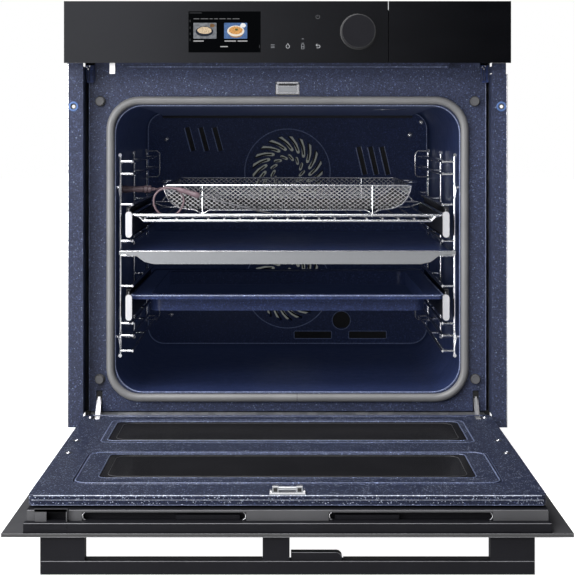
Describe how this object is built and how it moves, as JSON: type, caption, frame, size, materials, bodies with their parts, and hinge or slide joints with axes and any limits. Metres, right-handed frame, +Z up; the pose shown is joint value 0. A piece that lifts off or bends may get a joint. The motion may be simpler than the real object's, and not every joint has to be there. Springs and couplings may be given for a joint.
{
  "type": "wall oven",
  "caption": "Built-in steam oven with a drop-down door holding a flexible second door, telescopic rails, wire rack, air-fry basket, divider and baking tray.",
  "frame": {"origin": "centre of the base pan's underside", "axes": "+X to the right seen from the front, +Y from the front to the back, +Z up"},
  "size_m": [0.595, 1.0296, 0.634],
  "materials": {
    "black_glass": "gloss black glass",
    "screen_glass": "lit display behind glass",
    "dark_window": "tinted coated glass",
    "clear_glass": "clear ribbed lens",
    "navy_enamel": "speckled vitreous enamel",
    "grey_enamel": "speckled vitreous enamel",
    "dark_trim": "satin dark anodised",
    "side_trim_grey": "satin grey",
    "galvanised": "galvanised sheet",
    "chrome_wire": "bright chromed wire",
    "stainless": "brushed stainless",
    "mesh_steel": "woven stainless mesh",
    "light_metal": "satin aluminium",
    "dark_plastic": "matte moulded",
    "white_plastic": "matte moulded",
    "blue_plastic": "matte moulded",
    "tank_plastic": "translucent moulded",
    "board_green": "circuit board",
    "seal_rubber": "silicone seal",
    "pad_rubber": "soft bumper",
    "probe_silicone": "matt silicone",
    "blanket": "mineral wool blanket",
    "element_steel": "dark oxidised",
    "ceramic_white": "cream terminal moulding"
  },
  "bodies": {
    "chassis": {"control_fascia": "black_glass", "fascia_carrier": "dark_plastic", "display_screen": "screen_glass", "circuit_boards": "board_green", "tank_bay": "dark_plastic", "top_cover": "galvanised", "side_panels": "galvanised", "rear_cover": "galvanised", "base_pan": "galvanised", "face_plate": "grey_enamel", "side_trims": "side_trim_grey", "screw_bushes": "blue_plastic", "bumper_pads": "pad_rubber", "latch_catch": "stainless", "cavity_liner": "navy_enamel", "rear_baffle": "navy_enamel", "cavity_gasket": "seal_rubber", "fan_motors": "galvanised", "heating_elements": "element_steel", "insulation": "blanket", "blower_housing": "galvanised", "lamp_lens": "clear_glass", "probe_socket": "stainless", "probe_plug": "probe_silicone", "side_racks": "chrome_wire", "rail_bases": "stainless", "hinge_arms": "stainless", "terminal_block": "ceramic_white", "baffle_screws": "stainless"},
    "door": {"door_frame": "grey_enamel", "lower_glass": "black_glass", "lower_window": "dark_window", "door_latch": "stainless", "hinge_cases": "stainless", "flex_hinges": "stainless"},
    "flex_door": {"upper_glass": "black_glass", "upper_panel": "grey_enamel", "upper_window": "dark_window", "top_trim": "dark_trim", "handle_bar": "dark_trim"},
    "handle_release": {"handle_lever": "dark_trim"},
    "dial_stem": {"dial_shaft": "stainless"},
    "dial": {"dial_knob": "dark_trim"},
    "tank": {"tank_fascia": "black_glass", "water_tank": "tank_plastic"},
    "upper_middle": {"upper_rail_middles": "stainless"},
    "upper_carriage": {"upper_rail_runners": "light_metal", "wire_rack": "chrome_wire", "air_fry_basket": "mesh_steel", "probe_cord": "probe_silicone", "probe_handle": "probe_silicone"},
    "lower_middle": {"lower_rail_middles": "stainless"},
    "lower_carriage": {"lower_rail_runners": "light_metal", "baking_tray": "navy_enamel"},
    "divider": {"divider_panel": "navy_enamel", "divider_trim": "stainless"},
    "upper_fan_wheel": {"upper_fan": "stainless"},
    "lower_fan_wheel": {"lower_fan": "stainless"},
    "cooling_rotor": {"blower_rotor": "dark_plastic"},
    "door_switch": {"switch_lever": "white_plastic"}
  },
  "joints": [
    {"name": "door_hinge", "type": "hinge", "parent": "chassis", "child": "door", "pos_m": [0, -0.2865, 0.026], "axis": [-1, 0, 0], "range_deg": [0, 90]},
    {"name": "flex_door_hinge", "type": "hinge", "parent": "door", "child": "flex_door", "pos_m": [0, -0.497, 0.0095], "axis": [1, 0, 0], "range_deg": [0, 90]},
    {"name": "handle_lever_hinge", "type": "hinge", "parent": "flex_door", "child": "handle_release", "pos_m": [0.007, -0.758, -0.029], "axis": [0, 1, 0], "range_deg": [0, 6], "stiffness_Nm_per_rad": 0.6, "springref_deg": -20.05},
    {"name": "dial_push", "type": "slide", "parent": "chassis", "child": "dial_stem", "axis": [0, 1, 0], "range_m": [0, 0.001], "stiffness_N_per_m": 1500, "springref_m": -0.001},
    {"name": "dial_turn", "type": "hinge", "parent": "dial_stem", "child": "dial", "pos_m": [0.094, -0.3175, 0.5552], "axis": [0, 1, 0], "continuous": true},
    {"name": "tank_slide", "type": "slide", "parent": "chassis", "child": "tank", "axis": [0, 1, 0], "range_m": [-0.2, 0]},
    {"name": "upper_rail_slide", "type": "slide", "parent": "chassis", "child": "upper_carriage", "axis": [0, 1, 0], "range_m": [-0.36, 0]},
    {"name": "upper_middle_slide", "type": "slide", "parent": "chassis", "child": "upper_middle", "axis": [0, 1, 0], "range_m": [-0.18, 0]},
    {"name": "lower_rail_slide", "type": "slide", "parent": "chassis", "child": "lower_carriage", "axis": [0, 1, 0], "range_m": [-0.36, 0]},
    {"name": "lower_middle_slide", "type": "slide", "parent": "chassis", "child": "lower_middle", "axis": [0, 1, 0], "range_m": [-0.18, 0]},
    {"name": "divider_slide", "type": "slide", "parent": "chassis", "child": "divider", "axis": [0, 1, 0], "range_m": [-0.35, 0]},
    {"name": "upper_fan_turn", "type": "hinge", "parent": "chassis", "child": "upper_fan_wheel", "pos_m": [0, 0.1965, 0.3555], "axis": [0, 1, 0], "continuous": true},
    {"name": "lower_fan_turn", "type": "hinge", "parent": "chassis", "child": "lower_fan_wheel", "pos_m": [0, 0.1965, 0.169], "axis": [0, 1, 0], "continuous": true},
    {"name": "blower_turn", "type": "hinge", "parent": "chassis", "child": "cooling_rotor", "pos_m": [0, 0.0955, 0.531], "axis": [1, 0, 0], "continuous": true},
    {"name": "door_switch_hinge", "type": "hinge", "parent": "chassis", "child": "door_switch", "pos_m": [-0.2341, -0.2985, 0.538], "axis": [1, 0, 0], "range_deg": [0, 9]}
  ],
  "couplings": [
    {"joint": "upper_middle_slide", "follows": "upper_rail_slide", "ratio": 0.5},
    {"joint": "lower_middle_slide", "follows": "lower_rail_slide", "ratio": 0.5},
    {"joint": "door_switch_hinge", "follows": "door_hinge", "ratio": 0.1}
  ]
}
